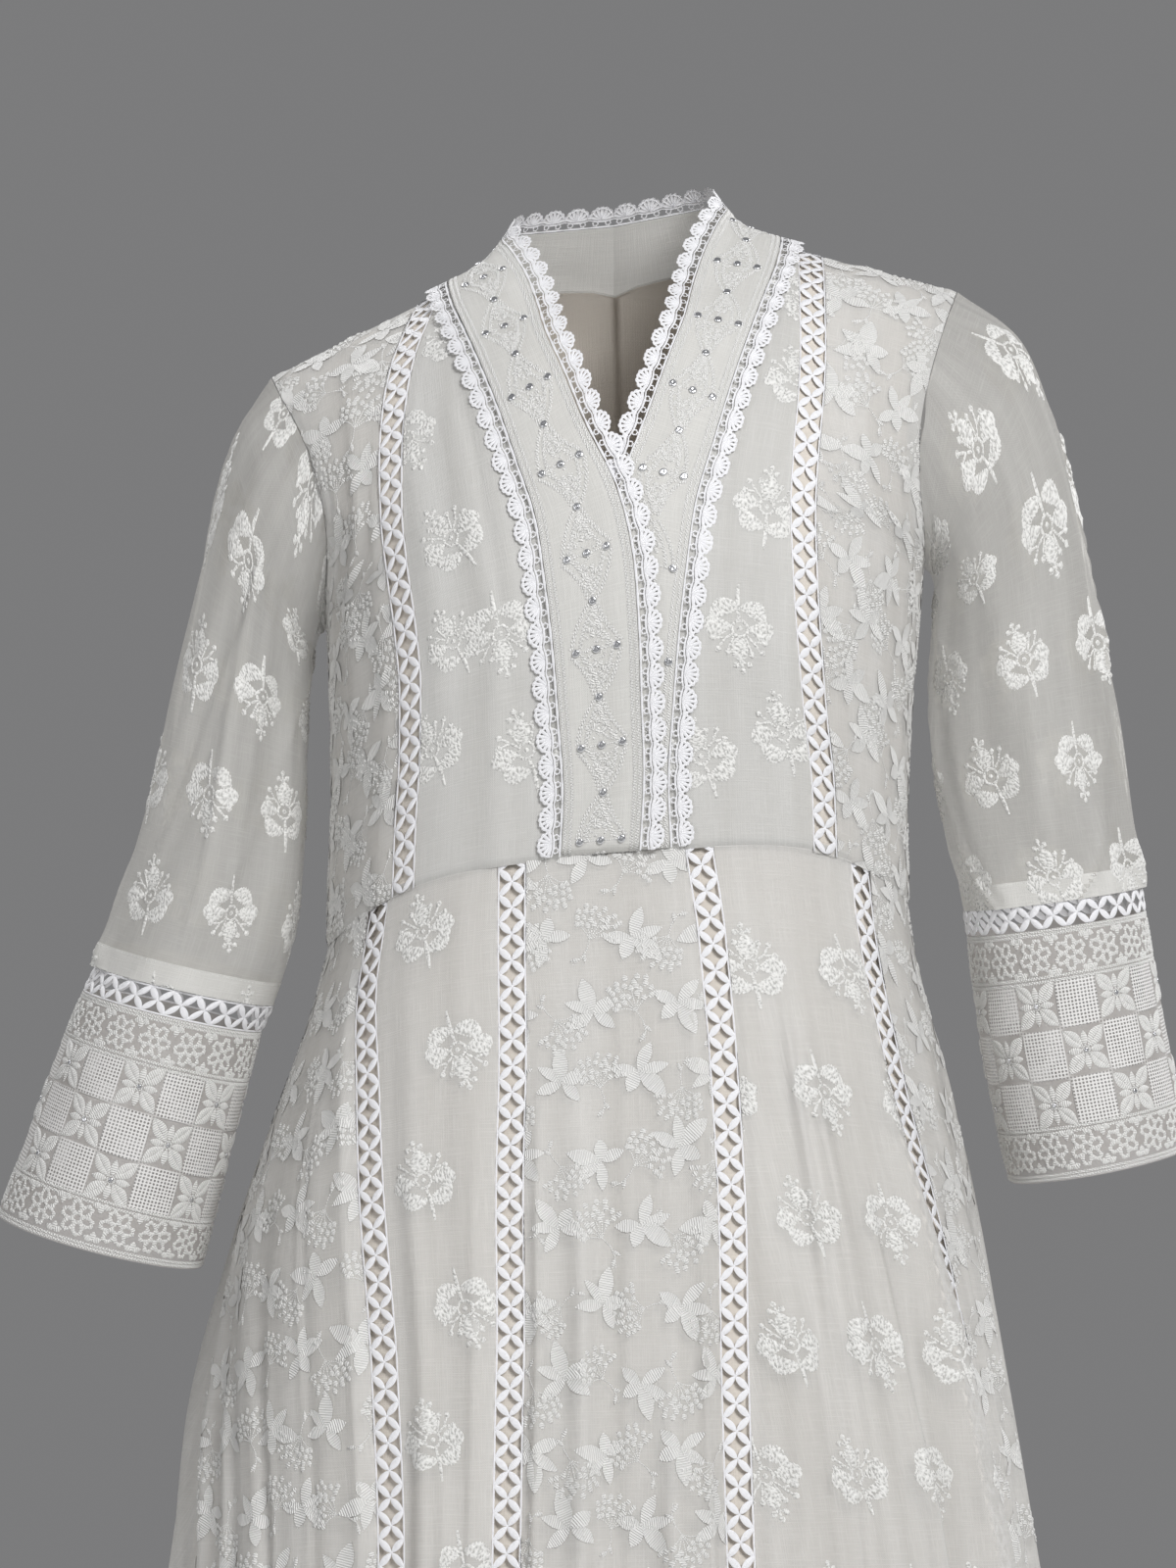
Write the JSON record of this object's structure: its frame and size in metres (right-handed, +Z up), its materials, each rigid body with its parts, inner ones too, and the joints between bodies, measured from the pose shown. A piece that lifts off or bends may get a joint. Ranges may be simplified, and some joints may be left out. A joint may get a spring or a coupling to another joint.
{
  "type": "anarkali gown, hollow as worn",
  "caption": "Long panelled anarkali gown in the hollow form it keeps when worn, with three-quarter sleeves, deep cuffs and open lace seams.",
  "frame": {"origin": "base of the neck, midway between the shoulder seams, where the wearer's shoulders hold the gown", "axes": "+Z up the gown towards the neck, -Y out of the front, +X towards the wearer's left"},
  "size_m": [0.682, 0.6047, 1.2994],
  "materials": {
    "cloth": "matt",
    "lace": "matt",
    "lining": "matt"
  },
  "bodies": {
    "root": {"bodice_back": "cloth", "bodice_centre_left": "cloth", "bodice_centre_right": "cloth", "bodice_side_left": "cloth", "bodice_side_right": "cloth", "cuff_left": "cloth", "cuff_right": "cloth", "lace_inner_left": "lace", "lace_inner_right": "lace", "lace_outer_left": "lace", "lace_outer_right": "lace", "ladder_bodice_left": "lace", "ladder_bodice_right": "lace", "ladder_skirt_1": "lace", "ladder_skirt_2": "lace", "ladder_skirt_3": "lace", "ladder_skirt_4": "lace", "ladder_sleeve_left_back": "lace", "ladder_sleeve_left_front": "lace", "ladder_sleeve_right_back": "lace", "ladder_sleeve_right_front": "lace", "lining_bodice_back": "lining", "lining_bodice_left": "lining", "lining_bodice_right": "lining", "lining_skirt": "lining", "neckband_left": "cloth", "neckband_right": "cloth", "skirt_back": "cloth", "skirt_centre": "cloth", "skirt_front_left": "cloth", "skirt_front_right": "cloth", "skirt_side_left": "cloth", "skirt_side_right": "cloth", "sleeve_left": "cloth", "sleeve_right": "cloth"}
  },
  "joints": []
}
